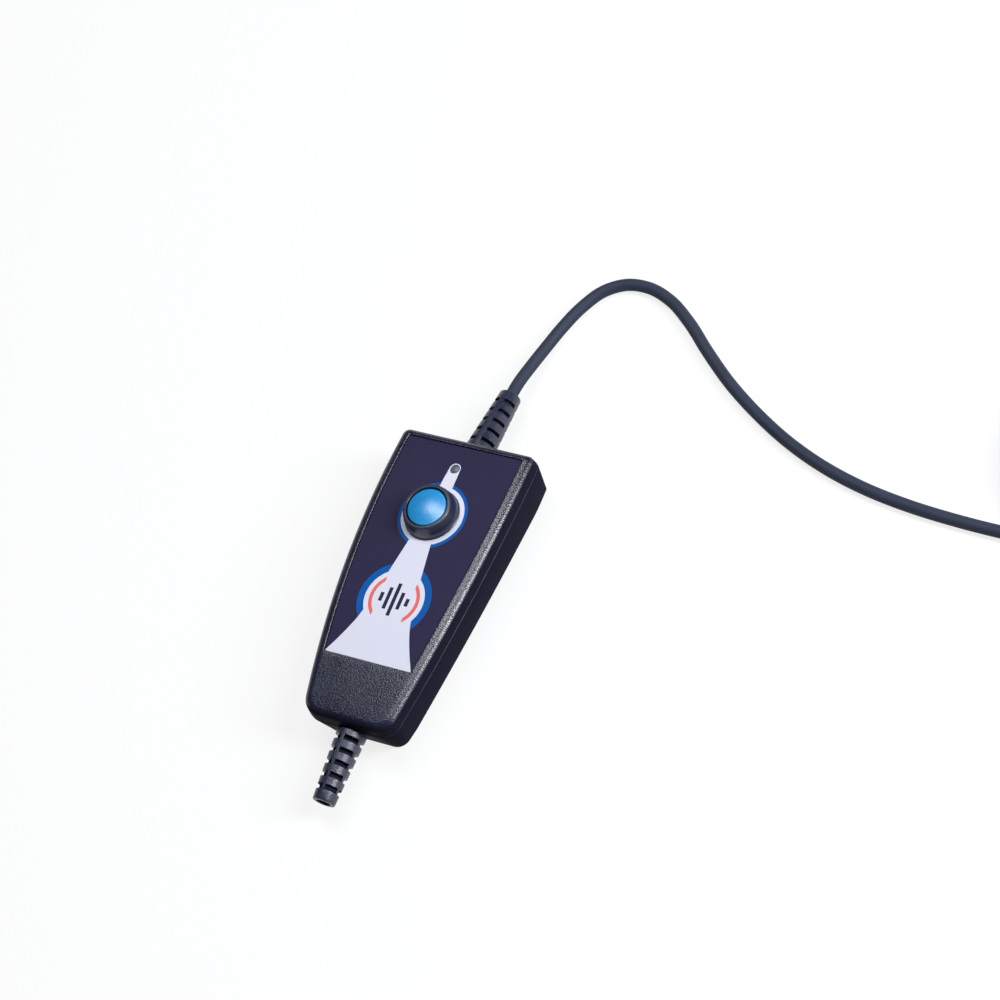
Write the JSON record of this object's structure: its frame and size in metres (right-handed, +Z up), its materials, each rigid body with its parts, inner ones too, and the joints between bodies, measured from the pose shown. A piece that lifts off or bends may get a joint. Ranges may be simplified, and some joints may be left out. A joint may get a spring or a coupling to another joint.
{
  "type": "audiometer",
  "caption": "Hand-held audiometer box with an arched tapering two-shell housing, a round push button, slotted cord boots and a cord with a plug.",
  "frame": {"origin": "on the surface that the box lies on, below the middle of its bounding box without the free cord", "axes": "+X across the box to its right seen from above with the corded end away, +Y along it towards the corded head end, +Z up out of the table towards the button side"},
  "size_m": [0.2795, 0.2339, 0.0275],
  "materials": {
    "housing_plastic": "fine moulded grain",
    "label_film": "screen-printed satin film",
    "bezel_plastic": "polished moulding",
    "cap_plastic": "satin gloss moulding",
    "lamp_resin": "tinted clear resin",
    "boot_rubber": "soft moulded vinyl, dull",
    "cord_sheath": "extruded vinyl sheath",
    "nylon": "moulded nylon",
    "plated_steel": "zinc or nickel plated",
    "can_aluminium": "drawn can",
    "board_laminate": "glass-filled laminate with solder resist",
    "chip_resin": "moulded chip package"
  },
  "bodies": {
    "housing": {"front_cover": "housing_plastic", "rear_cover": "housing_plastic", "front_label": "label_film", "button_bezel": "bezel_plastic", "status_led": "lamp_resin", "head_boot": "boot_rubber", "foot_boot": "boot_rubber", "plug_body": "boot_rubber", "cord_in_boot": "cord_sheath", "cord": "cord_sheath", "cord_coil": "cord_sheath", "cord_tail": "cord_sheath", "button_switch": "nylon", "led_spacer": "nylon", "cord_connector": "nylon", "cord_tie": "nylon", "plug_tongue": "nylon", "button_nut": "plated_steel", "button_spring": "plated_steel", "crystal": "plated_steel", "plug_shell": "plated_steel", "housing_screw_1": "plated_steel", "housing_screw_2": "plated_steel", "housing_screw_3": "plated_steel", "housing_screw_4": "plated_steel", "board_screw_1": "plated_steel", "board_screw_2": "plated_steel", "board_screw_3": "plated_steel", "board_screw_4": "plated_steel", "capacitor_1": "can_aluminium", "capacitor_2": "can_aluminium", "circuit_board": "board_laminate", "sound_chip": "chip_resin", "control_chip": "chip_resin"},
    "button": {"button_cap": "cap_plastic"}
  },
  "joints": [
    {"name": "button_press", "type": "slide", "parent": "housing", "child": "button", "axis": [0, 0, 1], "range_m": [-0.0015, 0], "stiffness_N_per_m": 800, "springref_m": 0.001, "deforming": ["button_spring"]}
  ]
}
